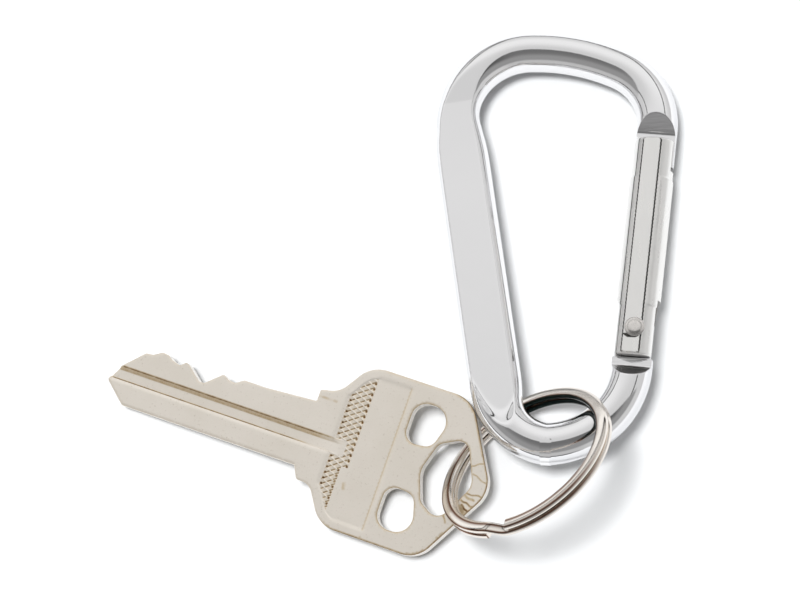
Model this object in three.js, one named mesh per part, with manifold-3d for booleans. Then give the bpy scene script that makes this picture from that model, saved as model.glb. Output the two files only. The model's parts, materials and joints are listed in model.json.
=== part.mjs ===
// Carabiner keyring: a small snap carabiner with a flat-pressed back, a split ring and a house key.
// Millimetres, +Z up. The object lies on the plane z = 0 with the carabiner's long axis along Y
// and its wide end at +Y; the split ring leans through its narrow end and holds the key at -X.

import * as THREE from "three";
import { mergeVertices } from "three/addons/utils/BufferGeometryUtils.js";
import Module from "manifold-3d";

const wasm = await Module();
wasm.setup();

const { degToRad } = THREE.MathUtils;

// ---------------------------------------------------------------- driving dimensions

const play = 0.3; // air between two pieces that don't touch
const turningPlay = 0.08; // radial air between the rivet's shank and its holes

const bar = {
  diameter: 5.4,
  // The bent centreline is a five-cornered loop with rounded corners.
  corners: {
    narrowGate: { x: 8.45, y: -28.4, radius: 11.2 },
    narrowBack: { x: -6.75, y: -27.4, radius: 7.65 },
    wideBack: { x: -14.01, y: 27.16, radius: 9.6 },
    wideTop: { x: 3.46, y: 26.83, radius: 26.5 },
    wideGate: { x: 14.46, y: 21.18, radius: 8.8 },
  },
  sides: 20,
  steps: 96,
};

// The stretch of the back that is pressed flat, and how it tapers into the bends.
const back = {
  width: 6.9,
  thickness: 3.6,
  overrun: 2.6,
  endWidth: 5,
  endRadius: 1,
  taperRadius: 4,
  edgeRadius: 1,
};

// Along the gate, v is measured from the rivet towards the nose.
const gateLine = {
  rivetFromNarrowCorner: 15.4,
  gateStart: -3.75,
  gateEnd: 26.5,
  noseTongueTip: 22.9,
  noseScoop: 27.3,
  hingeScoop: -4.5,
};

const tongue = { thickness: 1.9, scoopRadius: 2.3, camRadius: 2.5, camRise: 1.6, camEnd: 45 };

const gateSize = {
  diameter: 5,
  landWidth: 2.3,
  landHeight: 2.55, // from the gate's axis
  landInset: 0.35,
  landCorner: 0.8,
  slotHalf: 1.25,
  hingeSlotEnd: 4.3,
  noseSlotStart: 22.3,
  innerWall: 1.3, // the nose slot stays closed beyond this side distance
};

const rivet = { shank: 1.6, head: 2.6, headSeat: 2.65, headTop: 3.05 };

const bore = { radius: 1.2, end: 16 };
const plunger = { radius: 0.9, tipGap: 0.5, end: 7.6 };
const spring = { coilRadius: 0.72, wire: 0.3, turns: 8, stepsPerTurn: 12 };

const ring = {
  outerRadius: 12.2,
  wireWidth: 1.65,
  wireThickness: 0.85,
  wireCorner: 0.3,
  layerGap: 0.1,
  endsApart: 16, // degrees between the wire's two cut ends
  stepsPerTurn: 50,
};

const key = {
  thickness: 2,
  bladeTop: 5.65,
  bladeBottom: -2.7,
  shoulder: 28.1,
  bowTop: 12.75,
  bowBottom: -9.05,
  cutFlat: 0.9,
  cutSlope: 0.8,
  // Place along the blade from the tip, and height of the flat, of each cut.
  cuts: [
    { x: 5, y: 4.85 },
    { x: 9, y: 4.7 },
    { x: 12.6, y: 3.55 },
    { x: 16.4, y: 4.93 },
  ],
  grooveDepth: 0.55,
  grooveStart: -1,
  grooveEnd: 34.4,
  upperGroove: { steep: 0.45, slanted: 2.2 },
  lowerGroove: { steep: -0.2, slanted: -1.7 },
};

// How the pieces lie: the narrow end of the carabiner and the key's bow both rest on the ring.
const rest = {
  carabiner: { x: 20.65, y: 6.6, z: 4.24, pitch: -2.84, roll: 1.2 },
  ring: { x: 17, y: -24.1, z: 9.04, tilt: 43.4, uphill: -49.6, endsAt: 310 },
  key: { x: -38.95, y: -9.4, z: 1.46, pitch: 6.2, roll: -4.56, heading: -20.75 },
};

// ---------------------------------------------------------------- colours

const aluminium = new THREE.MeshStandardMaterial({ color: 0xd8d8da, roughness: 0.22, metalness: 1 });
const gateAluminium = new THREE.MeshStandardMaterial({ color: 0xd6d0c8, roughness: 0.3, metalness: 1 });
const rivetSteel = new THREE.MeshStandardMaterial({ color: 0xd4ccc2, roughness: 0.3, metalness: 1 });
const springSteel = new THREE.MeshStandardMaterial({ color: 0xb8b8b8, roughness: 0.35, metalness: 1 });
const ringSteel = new THREE.MeshStandardMaterial({ color: 0xcfc6bc, roughness: 0.18, metalness: 1 });
const keyNickel = new THREE.MeshStandardMaterial({ color: 0xd2cdc3, roughness: 0.4, metalness: 1 });

// ---------------------------------------------------------------- solids: join, cut and keep

function solid(geometry) {
  const bare = geometry.index ? geometry.toNonIndexed() : geometry.clone();
  bare.deleteAttribute("normal");
  bare.deleteAttribute("uv");
  const merged = mergeVertices(bare, 1e-4);
  return new wasm.Manifold(
    new wasm.Mesh({
      numProp: 3,
      vertProperties: merged.getAttribute("position").array,
      triVerts: new Uint32Array(merged.index.array),
    }),
  );
}

function geometryOf(made) {
  const mesh = made.getMesh();
  const geometry = new THREE.BufferGeometry();
  geometry.setAttribute("position", new THREE.BufferAttribute(mesh.vertProperties, 3));
  geometry.setIndex(new THREE.BufferAttribute(mesh.triVerts, 1));
  geometry.computeVertexNormals();
  return geometry;
}

function namedMesh(name, geometry, material) {
  const mesh = new THREE.Mesh(geometry, material);
  mesh.name = name;
  return mesh;
}

// ---------------------------------------------------------------- outlines

// The arc that rounds one corner between its two neighbours.
function roundedCorner(before, corner, after) {
  const at = new THREE.Vector2(corner.x, corner.y);
  const toBefore = new THREE.Vector2(before.x, before.y).sub(at).normalize();
  const toAfter = new THREE.Vector2(after.x, after.y).sub(at).normalize();
  const half = Math.acos(toBefore.dot(toAfter)) / 2;
  const reach = corner.radius / Math.tan(half);
  const start = at.clone().addScaledVector(toBefore, reach);
  const end = at.clone().addScaledVector(toAfter, reach);
  const inward = toBefore.clone().add(toAfter).normalize();
  const centre = at.clone().addScaledVector(inward, corner.radius / Math.sin(half));
  const startAngle = Math.atan2(start.y - centre.y, start.x - centre.x);
  const endAngle = Math.atan2(end.y - centre.y, end.x - centre.x);
  const clockwise = toBefore.cross(toAfter) > 0;
  return { start, end, centre, radius: corner.radius, startAngle, endAngle, clockwise };
}

function addRoundedCorner(path, before, corner, after) {
  if (!corner.radius) {
    path.lineTo(corner.x, corner.y);
    return;
  }
  const arc = roundedCorner(before, corner, after);
  path.lineTo(arc.start.x, arc.start.y);
  path.absarc(arc.centre.x, arc.centre.y, arc.radius, arc.startAngle, arc.endAngle, arc.clockwise);
}

// A closed outline through corners [x, y, radius]; a missing radius is a sharp corner.
function roundedOutline(points, Kind = THREE.Shape) {
  const corners = points.map(([x, y, radius = 0]) => ({ x, y, radius }));
  const outline = new Kind();
  const last = corners[corners.length - 1];
  const first = corners[0];
  const start = first.radius ? roundedCorner(last, first, corners[1]).start : first;
  outline.moveTo(start.x, start.y);
  corners.forEach((corner, i) => {
    const before = corners[(i + corners.length - 1) % corners.length];
    addRoundedCorner(outline, before, corner, corners[(i + 1) % corners.length]);
  });
  outline.closePath();
  return outline;
}

// A plate of the given outline between two heights.
function plate(outline, low, high, curveSegments = 8) {
  const geometry = new THREE.ExtrudeGeometry(outline, {
    depth: high - low,
    bevelEnabled: false,
    curveSegments,
  });
  return geometry.translate(0, 0, low);
}

// A bar along X between two places; its profile's two directions are Y and Z.
function profileAlongX(profile, from, to) {
  const geometry = new THREE.ExtrudeGeometry(profile, {
    depth: to - from,
    bevelEnabled: false,
    curveSegments: 8,
  });
  const axes = new THREE.Matrix4().makeBasis(
    new THREE.Vector3(0, 1, 0),
    new THREE.Vector3(0, 0, 1),
    new THREE.Vector3(1, 0, 0),
  );
  return geometry.applyMatrix4(axes).translate(from, 0, 0);
}

function cylinderAlongZ(radius, low, high, sides = 24) {
  const geometry = new THREE.CylinderGeometry(radius, radius, high - low, sides);
  return geometry.rotateX(Math.PI / 2).translate(0, 0, (low + high) / 2);
}

function cylinderAlongY(radius, from, to, sides = 24) {
  const geometry = new THREE.CylinderGeometry(radius, radius, to - from, sides);
  return geometry.translate(0, (from + to) / 2, 0);
}

// A block of the given width, shifted sideways along X, between two heights and two places along Y.
function block(width, sideways, low, high, from, to) {
  const geometry = new THREE.BoxGeometry(width, to - from, high - low);
  return geometry.translate(sideways, (from + to) / 2, (low + high) / 2);
}

// A curve that lies flat on the plane z = 0.
class FlatCurve extends THREE.Curve {
  constructor(path) {
    super();
    this.path = path;
  }
  getPoint(t, target = new THREE.Vector3()) {
    const point = this.path.getPoint(t);
    return target.set(point.x, point.y, 0);
  }
}

// ---------------------------------------------------------------- the line that the gate lies on

const { narrowGate, narrowBack, wideBack, wideTop, wideGate } = bar.corners;
const gateDirection = new THREE.Vector2(wideGate.x - narrowGate.x, wideGate.y - narrowGate.y).normalize();
const rivetPoint = new THREE.Vector2(narrowGate.x, narrowGate.y).addScaledVector(
  gateDirection,
  gateLine.rivetFromNarrowCorner,
);
const gateAngle = Math.atan2(gateDirection.y, gateDirection.x) - Math.PI / 2;

function pointOnGateLine(v) {
  return rivetPoint.clone().addScaledVector(gateDirection, v);
}

// Turns and moves geometry drawn along Y from the rivet to its place in the carabiner.
function onGateLine(geometry) {
  return geometry.rotateZ(gateAngle).translate(rivetPoint.x, rivetPoint.y, 0);
}

// ---------------------------------------------------------------- carabiner body

// The round bar, bent from the hinge end round the narrow end, the back and the wide end to the nose.
function bentBar() {
  const hingeEnd = pointOnGateLine(tongue.camRadius + 2);
  const noseEnd = pointOnGateLine(gateLine.noseTongueTip);
  const path = new THREE.Path();
  path.moveTo(hingeEnd.x, hingeEnd.y);
  addRoundedCorner(path, hingeEnd, narrowGate, narrowBack);
  addRoundedCorner(path, narrowGate, narrowBack, wideBack);
  addRoundedCorner(path, narrowBack, wideBack, wideTop);
  addRoundedCorner(path, wideBack, wideTop, wideGate);
  addRoundedCorner(path, wideTop, wideGate, noseEnd);
  path.lineTo(noseEnd.x, noseEnd.y);
  const section = new THREE.Shape();
  section.absarc(0, 0, bar.diameter / 2, 0, 2 * Math.PI);
  return new THREE.ExtrudeGeometry(section, {
    extrudePath: new FlatCurve(path),
    steps: bar.steps,
    curveSegments: bar.sides / 2,
  });
}

// The flat-pressed stretch of the back, as the outline of its faces: it tapers into both bends.
function backOutline(trim) {
  const low = roundedCorner(narrowGate, narrowBack, wideBack).end;
  const high = roundedCorner(narrowBack, wideBack, wideTop).start;
  const along = high.clone().sub(low).normalize();
  const across = new THREE.Vector2(along.y, -along.x);
  const corner = (end, beyond, side, width, radius) => {
    const offset = side * (width / 2 - trim);
    const point = end.clone().addScaledVector(along, beyond).addScaledVector(across, offset);
    return [point.x, point.y, radius];
  };
  const edge = (side) => [
    corner(low, -back.overrun, side, back.endWidth, back.endRadius),
    corner(low, back.overrun, side, back.width, back.taperRadius),
    corner(high, -back.overrun, side, back.width, back.taperRadius),
    corner(high, back.overrun, side, back.endWidth, back.endRadius),
  ];
  return roundedOutline([...edge(1), ...edge(-1).reverse()]);
}

function pressedBack() {
  const geometry = new THREE.ExtrudeGeometry(backOutline(back.edgeRadius), {
    depth: back.thickness - 2 * back.edgeRadius,
    bevelThickness: back.edgeRadius,
    bevelSize: back.edgeRadius,
    bevelSegments: 3,
    curveSegments: 6,
  });
  return geometry.translate(0, 0, back.edgeRadius - back.thickness / 2);
}

// Clears the bar above a tongue, with a scooped end; mirrored, it clears it below.
function tongueCutter(scoopStart, farEnd, side) {
  const low = tongue.thickness / 2;
  const top = bar.diameter;
  const towardsScoop = Math.sign(scoopStart - farEnd);
  const profile = new THREE.Shape();
  profile.moveTo(farEnd, low);
  profile.lineTo(scoopStart, low);
  profile.absarc(
    scoopStart,
    low + tongue.scoopRadius,
    tongue.scoopRadius,
    -Math.PI / 2,
    towardsScoop > 0 ? 0 : -Math.PI,
    towardsScoop < 0,
  );
  profile.lineTo(scoopStart + towardsScoop * tongue.scoopRadius, top);
  profile.lineTo(farEnd, top);
  profile.closePath();
  const geometry = profileAlongX(profile, -bar.diameter, bar.diameter);
  if (side < 0) geometry.rotateY(Math.PI);
  return onGateLine(geometry);
}

// Trims the hinge tongue to a cam whose radius grows evenly towards the eye, so that the opening
// gate pushes its plunger back.
function camTrimmer() {
  const half = bar.diameter / 2;
  const outline = new THREE.Shape();
  outline.moveTo(-2 * half, half);
  const camSteps = 6;
  for (let i = camSteps; i >= 0; i -= 1) {
    const angle = (degToRad(tongue.camEnd) * i) / camSteps;
    const radius = tongue.camRadius + tongue.camRise * angle;
    outline.lineTo(-radius * Math.sin(angle), radius * Math.cos(angle));
  }
  outline.absarc(0, tongue.camRadius - half, half, Math.PI / 2, 0, true);
  outline.lineTo(2 * half, tongue.camRadius - half);
  outline.lineTo(2 * half, 3 * half);
  outline.lineTo(-2 * half, 3 * half);
  outline.closePath();
  return onGateLine(plate(outline, -half - 1, half + 1));
}

// Narrows the nose tongue on the eye's side, where the gate's slot has its wall.
function noseNarrower() {
  const from = gateLine.noseTongueTip - 1;
  const to = gateLine.gateEnd + play;
  const inner = -gateSize.innerWall + play;
  const width = bar.diameter;
  return onGateLine(block(width, inner - width / 2, -width, width, from, to));
}

function carabinerBody() {
  const height = bar.diameter;
  const wide = backOutline(-back.width);
  const made = solid(bentBar())
    .subtract(solid(plate(wide, back.thickness / 2, height)))
    .subtract(solid(plate(wide, -height, -back.thickness / 2)))
    .add(solid(pressedBack()))
    .subtract(solid(tongueCutter(gateLine.noseScoop, gateLine.noseTongueTip - 1, 1)))
    .subtract(solid(tongueCutter(gateLine.noseScoop, gateLine.noseTongueTip - 1, -1)))
    .subtract(solid(tongueCutter(gateLine.hingeScoop, 3 * tongue.camRadius, 1)))
    .subtract(solid(tongueCutter(gateLine.hingeScoop, 3 * tongue.camRadius, -1)))
    .subtract(solid(camTrimmer()))
    .subtract(solid(noseNarrower()))
    .subtract(solid(onGateLine(cylinderAlongZ(rivet.shank / 2 + turningPlay, -height, height))));
  return namedMesh("carabiner_body", geometryOf(made), aluminium);
}

// ---------------------------------------------------------------- gate, rivet, plunger and spring

function gate() {
  const radius = gateSize.diameter / 2;
  const { landWidth, landHeight, landInset, landCorner } = gateSize;
  const land = roundedOutline([
    [-landWidth / 2, gateLine.gateStart + landInset, landCorner],
    [landWidth / 2, gateLine.gateStart + landInset, landCorner],
    [landWidth / 2, gateLine.gateEnd - landInset, landCorner],
    [-landWidth / 2, gateLine.gateEnd - landInset, landCorner],
  ]);
  const slot = gateSize.slotHalf;
  const sideways = radius - gateSize.innerWall;
  const noseSlot = block(2 * radius, sideways, -slot, slot, gateSize.noseSlotStart, gateLine.gateEnd + 1);
  const hingeSlot = block(4 * radius, 0, -slot, slot, -2 * radius, gateSize.hingeSlotEnd);
  const made = solid(cylinderAlongY(radius, gateLine.gateStart, gateLine.gateEnd, 32))
    .add(solid(plate(land, -landHeight, landHeight)))
    .subtract(solid(noseSlot))
    .subtract(solid(hingeSlot))
    .subtract(solid(cylinderAlongY(bore.radius, 0, bore.end)))
    .subtract(solid(cylinderAlongZ(rivet.shank / 2 + turningPlay, -bar.diameter, bar.diameter)));
  return namedMesh("gate", onGateLine(geometryOf(made)), gateAluminium);
}

function hingeRivet() {
  const shank = rivet.shank / 2;
  const head = rivet.head / 2;
  const dome = rivet.headTop - rivet.headSeat;
  const half = [
    [shank, 0],
    [shank, rivet.headSeat],
    [head, rivet.headSeat],
    [head * 0.96, rivet.headSeat + dome * 0.4],
    [head * 0.7, rivet.headSeat + dome * 0.85],
    [0, rivet.headTop],
  ];
  const mirrored = half
    .slice(1)
    .reverse()
    .map(([r, y]) => [r, -y]);
  const profile = [...mirrored, ...half].map(([r, y]) => new THREE.Vector2(r, y));
  const geometry = new THREE.LatheGeometry(profile, 24).rotateX(Math.PI / 2);
  return namedMesh("hinge_rivet", onGateLine(geometryOf(solid(geometry))), rivetSteel);
}

function springPlunger() {
  const tip = tongue.camRadius + plunger.tipGap;
  const ball = new THREE.SphereGeometry(plunger.radius, 16, 12).translate(0, tip + plunger.radius, 0);
  const pin = cylinderAlongY(plunger.radius, tip + plunger.radius, plunger.end, 16);
  return namedMesh("spring_plunger", onGateLine(geometryOf(solid(ball).add(solid(pin)))), springSteel);
}

class Helix extends THREE.Curve {
  constructor(radius, start, end, turns) {
    super();
    Object.assign(this, { radius, start, end, turns });
  }
  getPoint(t, target = new THREE.Vector3()) {
    const angle = 2 * Math.PI * this.turns * t;
    const y = this.start + (this.end - this.start) * t;
    return target.set(this.radius * Math.cos(angle), y, this.radius * Math.sin(angle));
  }
}

function gateSpring() {
  const margin = play + spring.wire / 2;
  const path = new Helix(spring.coilRadius, plunger.end + margin, bore.end - margin, spring.turns);
  const section = new THREE.Shape();
  section.absarc(0, 0, spring.wire / 2, 0, 2 * Math.PI);
  const geometry = new THREE.ExtrudeGeometry(section, {
    extrudePath: path,
    steps: spring.turns * spring.stepsPerTurn,
    curveSegments: 3,
  });
  return namedMesh("gate_spring", onGateLine(geometryOf(solid(geometry))), springSteel);
}

// ---------------------------------------------------------------- split ring

// The centreline of the ring's wire: it runs once round in the upper layer, steps down between its
// own two ends, and runs once round in the lower layer.
class RingWire extends THREE.Curve {
  getPoint(t, target = new THREE.Vector3()) {
    const middle = ring.outerRadius - ring.wireWidth / 2;
    const layer = (ring.wireThickness + ring.layerGap) / 2;
    const gap = degToRad(ring.endsApart);
    const turned = (4 * Math.PI - gap) * t;
    const angle = degToRad(rest.ring.endsAt) + gap / 2 + turned;
    const intoStep = THREE.MathUtils.clamp((turned - (2 * Math.PI - gap)) / gap, 0, 1);
    const height = layer * Math.cos(Math.PI * intoStep);
    return target.set(middle * Math.cos(angle), middle * Math.sin(angle), height);
  }
}

function splitRing() {
  const width = ring.wireWidth / 2;
  const thickness = ring.wireThickness / 2;
  const section = roundedOutline([
    [-thickness, -width, ring.wireCorner],
    [thickness, -width, ring.wireCorner],
    [thickness, width, ring.wireCorner],
    [-thickness, width, ring.wireCorner],
  ]);
  const geometry = new THREE.ExtrudeGeometry(section, {
    extrudePath: new RingWire(),
    steps: 2 * ring.stepsPerTurn,
    curveSegments: 1,
  });
  return namedMesh("split_ring", geometryOf(solid(geometry)), ringSteel);
}

// ---------------------------------------------------------------- house key

// The cut edge of the blade from the tip to the shoulder: flats at the cuts' heights, joined by
// flanks that meet each other or the uncut edge.
function cutEdge() {
  const half = key.cutFlat / 2;
  const rise = (cut) => (key.bladeTop - cut.y) / key.cutSlope;
  const points = [];
  key.cuts.forEach((cut, i) => {
    const next = key.cuts[i + 1];
    if (i > 0) points.push([cut.x - half, cut.y]);
    points.push([cut.x + half, cut.y]);
    const end = cut.x + half + rise(cut);
    const start = next ? next.x - half - rise(next) : key.shoulder;
    if (end < start) {
      points.push([end, key.bladeTop]);
      if (next) points.push([start, key.bladeTop]);
      return;
    }
    const x = (cut.x + half + next.x - half) / 2 + (next.y - cut.y) / (2 * key.cutSlope);
    points.push([x, cut.y + (x - cut.x - half) * key.cutSlope]);
  });
  return points;
}

function keyOutline() {
  const blade = [[0, 0, 0.4], [1.1, 2.1, 1], [3.95, key.cuts[0].y], ...cutEdge()];
  const stop = [
    [key.shoulder, 6.1],
    [key.shoulder, 7.7, 0.3],
    [30.6, 8.2, 3],
  ];
  const bow = [
    [33.6, key.bowTop, 4],
    [47.7, key.bowTop, 4.2],
    [53.9, 2.2, 4],
    [47.6, key.bowBottom, 3.8],
    [33.9, key.bowBottom, 4],
    [30.9, -4.4, 2],
  ];
  const foot = [
    [29, -4.4, 0.5],
    [key.shoulder, key.bladeBottom],
    [3.1, key.bladeBottom, 0.5],
  ];
  return roundedOutline([...blade, ...stop, ...bow, ...foot].reverse());
}

// Three rounded windows round a hub: two small ones and the one that the ring passes through.
function keyWindows() {
  const middle = (key.bowTop + key.bowBottom) / 2;
  const small = [
    [40.7, 10.4, 2],
    [46.2, 10.4, 2.2],
    [44.6, 5.1, 1.6],
    [40.7, 4.7, 1.6],
  ];
  const mirrored = small.map(([x, y, radius]) => [x, 2 * middle - y, radius]).reverse();
  const ringWindow = [
    [51.4, 2.1, 2.2],
    [48.9, 7.7, 1.5],
    [45.4, 5.9, 1.6],
    [44.2, 1.85, 3],
    [45.6, -1.9, 1.6],
    [48.5, -3.6, 1.6],
  ];
  return [small, mirrored, ringWindow].map((points) => roundedOutline(points, THREE.Path));
}

// A milled channel along the blade: a steep wall on one side and a slanted one on the other.
function channel(steep, slanted, side) {
  const face = key.thickness / 2;
  const floor = face - key.grooveDepth;
  const run = key.grooveDepth * Math.sign(slanted - steep);
  const profile = new THREE.Shape();
  profile.moveTo(steep, side * floor);
  profile.lineTo(slanted - run, side * floor);
  profile.lineTo(slanted + run, side * (face + key.grooveDepth));
  profile.lineTo(steep, side * (face + key.grooveDepth));
  profile.closePath();
  return profileAlongX(profile, key.grooveStart, key.grooveEnd);
}

function houseKey() {
  const outline = keyOutline();
  outline.holes.push(...keyWindows());
  const half = key.thickness / 2;
  const made = solid(plate(outline, -half, half, 6))
    .subtract(solid(channel(key.upperGroove.steep, key.upperGroove.slanted, 1)))
    .subtract(solid(channel(key.lowerGroove.steep, key.lowerGroove.slanted, -1)));
  return namedMesh("house_key", geometryOf(made), keyNickel);
}

// ---------------------------------------------------------------- assembly

const carabiner = new THREE.Group();
carabiner.add(carabinerBody(), hingeRivet(), gate(), gateSpring(), springPlunger());
carabiner.position.set(rest.carabiner.x, rest.carabiner.y, rest.carabiner.z);
carabiner.rotation.set(degToRad(rest.carabiner.pitch), degToRad(rest.carabiner.roll), 0);

const ringPiece = splitRing();
ringPiece.position.set(rest.ring.x, rest.ring.y, rest.ring.z);
ringPiece.rotation.set(0, -degToRad(rest.ring.tilt), degToRad(rest.ring.uphill), "ZYX");

const keyPiece = houseKey();
keyPiece.position.set(rest.key.x, rest.key.y, rest.key.z);
keyPiece.rotation.set(degToRad(rest.key.pitch), degToRad(rest.key.roll), degToRad(rest.key.heading));

const lying = new THREE.Group();
lying.add(carabiner, ringPiece, keyPiece);

// The origin is the middle of the footprint, on the plane that the object lies on.
const box = new THREE.Box3().setFromObject(lying, true);
const middle = box.getCenter(new THREE.Vector3());
lying.position.set(-middle.x, -middle.y, -box.min.z);

const keyring = new THREE.Group();
keyring.add(lying);

export default keyring;
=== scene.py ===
"""Looks of the carabiner keyring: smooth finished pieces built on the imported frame.

Every piece is drawn in millimetres in its own axes, and then placed in the row frame by the
frame's joints: the carabiner by its rivet and its gate's direction, the ring by its centre and
its axis, and the key by the way it lies beside them.
"""

import json
import math
from types import SimpleNamespace

import bmesh
import bpy
import numpy as np
from mathutils import Matrix, Vector
from mathutils.geometry import delaunay_2d_cdt


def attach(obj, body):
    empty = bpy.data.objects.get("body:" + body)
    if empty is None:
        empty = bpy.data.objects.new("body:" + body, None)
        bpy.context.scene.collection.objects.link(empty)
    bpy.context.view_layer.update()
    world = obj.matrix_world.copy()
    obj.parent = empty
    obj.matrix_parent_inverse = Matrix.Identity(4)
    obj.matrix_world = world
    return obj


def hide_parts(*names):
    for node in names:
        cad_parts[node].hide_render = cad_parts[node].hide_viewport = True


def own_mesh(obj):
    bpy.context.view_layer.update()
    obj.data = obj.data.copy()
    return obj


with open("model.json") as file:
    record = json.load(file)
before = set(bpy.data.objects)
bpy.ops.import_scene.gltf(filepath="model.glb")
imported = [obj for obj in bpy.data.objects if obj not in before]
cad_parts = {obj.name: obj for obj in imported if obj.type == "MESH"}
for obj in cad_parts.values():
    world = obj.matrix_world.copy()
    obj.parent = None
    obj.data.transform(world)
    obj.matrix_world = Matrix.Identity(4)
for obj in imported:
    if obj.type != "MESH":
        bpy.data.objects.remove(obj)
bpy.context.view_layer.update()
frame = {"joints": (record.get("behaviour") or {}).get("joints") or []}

MM = 0.001
UP = Vector((0, 0, 1))

# ---- dimensions, in millimetres

# The carabiner's centreline: corners x, y and bend radius, from the hinge round to the nose.
NARROW_GATE = (8.45, -28.4, 11.2)
NARROW_BACK = (-6.75, -27.4, 7.65)
WIDE_BACK = (-14.01, 27.16, 9.6)
WIDE_TOP = (3.46, 26.83, 26.5)
WIDE_GATE = (14.46, 21.18, 8.8)
RIVET_FROM_CORNER = 15.4
BAR_RADIUS = 2.7

# The pressed back. Its places are measured from the narrow corner along the back.
PRESSED = SimpleNamespace(
    reach_aside=9,
    reach_along=60,
    half_width=3.42,
    half_thickness=1.8,
    wide_span=(9, 39),
    wide_fade=9,
    inner_slope=0.3,
    outer_square=0.7,
    shoulder=2.85,
    start=3.1,
    end=47.1,
    clearance=0.12,
    run_in=(-2.6, 1.0),
    lead_end=1.5,
    lead_slope=0.4,
    rise=0.22,
    rise_length=12,
    ramp=0.09,
    sag=0.5,
    sag_centre=0.3,
    blend=0.16,
)

# Places along the gate line, from the rivet towards the nose.
TONGUE_HALF = 0.95
NOSE_TIP = 22.9
NOSE_INNER = 1.0
NOSE_NARROWS = (0.25, 0.35)
HINGE_SQUEEZE = 0.12
HINGE_SQUEEZE_SPAN = (-3.7, -3.45)
SCOOP_BLEND = 0.1
NOSE_SCOOP = SimpleNamespace(place=27.35, reach=2.5)
HINGE_SCOOP = SimpleNamespace(place=-4.7, reach=1.7)
CAM = SimpleNamespace(start=-2, radius=2.5, rise=1.6, degrees=45)
GATE = SimpleNamespace(
    radius=2.5,
    broad=1.09,
    bulge=0.05,
    bulge_span=(3.4, 21),
    start=-3.45,
    end=26.5,
    near_end=1.4,
    fine_step=0.05,
    coarse_step=0.11,
    edge=0.2,
    dome=0.25,
    land_half=1.02,
    land_height=2.54,
    land_ripple=0.55,
    land_inset=0.17,
    land_corner=0.28,
    # A painted dark reflection line runs along one flank: its angle round the gate, its half width, and the
    # offsets of the mesh columns at its edges, in degrees.
    reflection_line=47,
    reflection_line_half=1.3,
    reflection_line_edges=(-2.4, -1.1, 1.1, 2.4),
    groove=0.14,
    groove_depth=0.22,
    slot_half=1.25,
    hinge_slot_end=4.3,
    nose_slot_start=22.3,
    inner_wall=1.3,
    roll=8,
)
BORE = SimpleNamespace(radius=1.2, end=16)
RIVET = SimpleNamespace(shank=0.8, hole=0.88, head=1.3, seat=2.65, top=3.05)
PLUNGER = SimpleNamespace(radius=0.9, start=3.0, end=7.6)
SPRING = SimpleNamespace(radius=0.72, wire=0.15, turns=8, start=8.05, end=15.55, keep=0.91)

RING = SimpleNamespace(
    radius=11.375,
    half_width=0.825,
    half_thickness=0.425,
    squareness=2.7,
    layer=0.475,
    ends_apart=16,
    ends_at=310,
    # Where the painted dark reflection on the far arc's inner wall is centred, in degrees round the ring,
    # and the strength of the painted shade between the coils on the near arc.
    dark_reflection_at=100,
    between_coils_shade=0.8,
)

KEY_HALF = 1.0
KEY_BEVEL = 0.12

LIGHT = SimpleNamespace(
    overhead=0.68,
    far_side=0.92,
    overhead_reach=(0.1, 0.7),
    foot=0.66,
    seam=0.04,
    seams=[(0.93, 0.07, (0.1, 0.3)), (-0.67, 0.06, (-0.3, -0.1))],
    panel=(0.17, 0.31, 0.55),
    panel_levels=(0.98, 0.7, 0.5, 0.35),
    panel_edge=(-0.07, -0.02),
    horizon=(0.06, 0.1),
    sun=3.3,
    sun_spread=18,
    sun_from=(-0.138, -0.03, 1),
)
CAMERA = SimpleNamespace(
    lens=136.8,
    distance=400,
    target=(0.94, -0.914, 2.388),
    back=(0.12569, -0.28230, 0.95106),
    up=(0.03699, 0.95933, 0.27987),
)

# How the pieces lie before the frame's origin is taken off, as in the part.
CARABINER_AT = Vector((20.65, 6.6, 4.24))
KEY_AT = Vector((-38.95, -9.4, 1.46))
KEY_PITCH, KEY_ROLL, KEY_HEADING = 6.2, -4.56, -20.75


# ---- places from the frame

joints = {joint["name"]: joint for joint in frame["joints"]}


def unit(vector):
    return vector / np.linalg.norm(vector)


def axes_at(origin, x_axis, z_axis):
    """A piece's own axes as a matrix from its millimetres to metres in the row frame."""
    z = z_axis.normalized()
    x = (x_axis - z * x_axis.dot(z)).normalized()
    turn = Matrix((x, z.cross(x), z)).transposed()
    return Matrix.Translation(origin) @ turn.to_4x4() @ Matrix.Scale(MM, 4)


narrow_gate = np.array(NARROW_GATE[:2])
gate_way = unit(np.array(WIDE_GATE[:2]) - narrow_gate)
gate_side = np.array((gate_way[1], -gate_way[0]))
rivet_at = narrow_gate + RIVET_FROM_CORNER * gate_way


def carabiner_axes():
    z = Vector(joints["gate_hinge"]["axis"])
    along = Vector(joints["plunger_slide"]["axis"])
    across = z.cross(along)
    x = along * gate_way[0] - across * gate_way[1]
    turned = axes_at(Vector(), x, z)
    centre = Vector(joints["gate_hinge"]["pos_m"]) - turned @ Vector((*rivet_at, 0))
    return Matrix.Translation(centre) @ turned


def ring_axes():
    z = Vector(joints["key_round_ring"]["axis"])
    return axes_at(Vector(joints["key_round_ring"]["pos_m"]), UP, z)


def key_axes():
    turn = Matrix.Rotation(math.radians(KEY_PITCH), 3, "X")
    turn = turn @ Matrix.Rotation(math.radians(KEY_ROLL), 3, "Y")
    turn = turn @ Matrix.Rotation(math.radians(KEY_HEADING), 3, "Z")
    shift = carabiner_axes().translation - CARABINER_AT * MM
    return Matrix.Translation(shift + KEY_AT * MM) @ turn.to_4x4() @ Matrix.Scale(MM, 4)


CARABINER_AXES = carabiner_axes()
RING_AXES = ring_axes()
KEY_AXES = key_axes()


# ---- mesh helpers


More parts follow.
